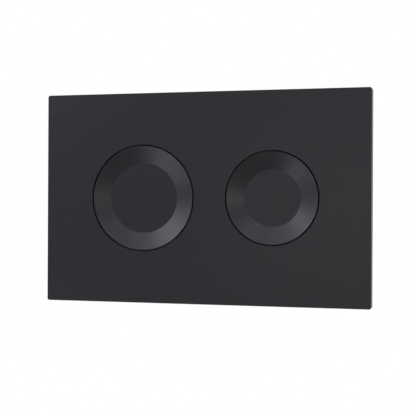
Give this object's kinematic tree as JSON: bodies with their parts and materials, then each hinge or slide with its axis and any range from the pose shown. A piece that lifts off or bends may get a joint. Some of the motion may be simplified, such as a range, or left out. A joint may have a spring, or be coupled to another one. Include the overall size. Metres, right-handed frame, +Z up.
{
  "type": "flush button plate",
  "caption": "Flat rectangular wall plate with a larger and a smaller round dished flush button on sprung stems with push rods, snapped onto a mounting frame with fixing bolts.",
  "frame": {"origin": "centre of the plate on the wall surface, which is the rear face of the mounting frame", "axes": "+X to the right seen from the front, +Y into the wall along the buttons' travel, +Z up"},
  "size_m": [0.25, 0.0875, 0.159],
  "materials": {
    "satin_black": "moulded and coated satin black",
    "black_acetal": "moulded, dyed black",
    "grey_abs": "moulded, fine grained",
    "white_nylon": "moulded thread, slightly glossy",
    "spring_steel": "drawn and tempered",
    "black_rubber": "moulded, matt"
  },
  "bodies": {
    "wall_plate": {"front_plate": "satin_black", "mounting_frame": "grey_abs", "full_flush_guide": "black_acetal", "part_flush_guide": "black_acetal", "full_flush_buffers": "black_rubber", "part_flush_buffers": "black_rubber", "full_flush_spring": "spring_steel", "part_flush_spring": "spring_steel", "left_fixing_bolt": "white_nylon", "right_fixing_bolt": "white_nylon"},
    "full_flush_plunger": {"full_flush_button": "satin_black", "full_flush_retaining_clip": "spring_steel", "full_flush_push_rod": "white_nylon", "full_flush_lock_nut": "white_nylon"},
    "part_flush_plunger": {"part_flush_button": "satin_black", "part_flush_retaining_clip": "spring_steel", "part_flush_push_rod": "white_nylon", "part_flush_lock_nut": "white_nylon"}
  },
  "joints": [
    {"name": "full_flush_press", "type": "slide", "parent": "wall_plate", "child": "full_flush_plunger", "axis": [0, 1, 0], "range_m": [0, 0.006], "stiffness_N_per_m": 600, "springref_m": -0.004, "deforming": ["full_flush_spring"]},
    {"name": "part_flush_press", "type": "slide", "parent": "wall_plate", "child": "part_flush_plunger", "axis": [0, 1, 0], "range_m": [0, 0.006], "stiffness_N_per_m": 600, "springref_m": -0.004, "deforming": ["part_flush_spring"]}
  ]
}
